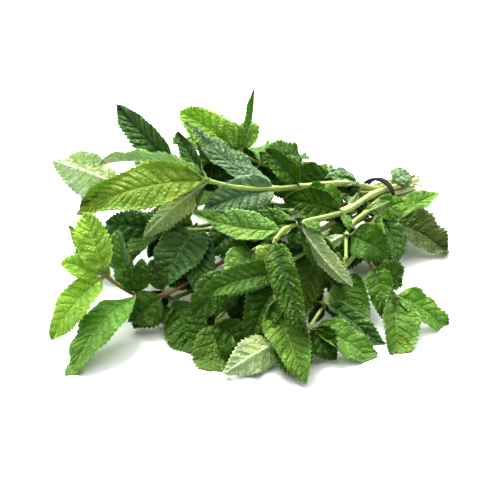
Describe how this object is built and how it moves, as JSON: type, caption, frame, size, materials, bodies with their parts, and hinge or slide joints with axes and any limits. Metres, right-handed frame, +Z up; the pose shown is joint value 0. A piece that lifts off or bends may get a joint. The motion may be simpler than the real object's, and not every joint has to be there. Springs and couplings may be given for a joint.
{
  "type": "mint bunch",
  "caption": "Tied bunch of fresh mint lying on its side: leafy sprigs with toothed leaves, held near their cut ends by a dark elastic band.",
  "frame": {"origin": "middle of the bounding box, on the surface that the bunch lies on", "axes": "+X to the right along the long side of the bunch, +Y to the back where the stems are tied, +Z up"},
  "size_m": [0.265, 0.2286, 0.11],
  "materials": {
    "mint_leaf": "soft satin leaf, paler and matt underneath, with pale stems",
    "band_rubber": "matt black elastic"
  },
  "bodies": {
    "root": {"sprig_top": "mint_leaf", "sprig_lime": "mint_leaf", "sprig_middle": "mint_leaf", "sprig_right_middle": "mint_leaf", "sprig_right": "mint_leaf", "sprig_band": "mint_leaf", "sprig_left": "mint_leaf", "sprig_centre_left": "mint_leaf", "sprig_back_left": "mint_leaf", "sprig_front_left": "mint_leaf", "sprig_under": "mint_leaf", "sprig_centre": "mint_leaf", "sprig_front": "mint_leaf", "sprig_front_right": "mint_leaf", "sprig_back": "mint_leaf", "sprig_back_low": "mint_leaf", "sprig_back_right": "mint_leaf", "elastic_band": "band_rubber"}
  },
  "joints": []
}
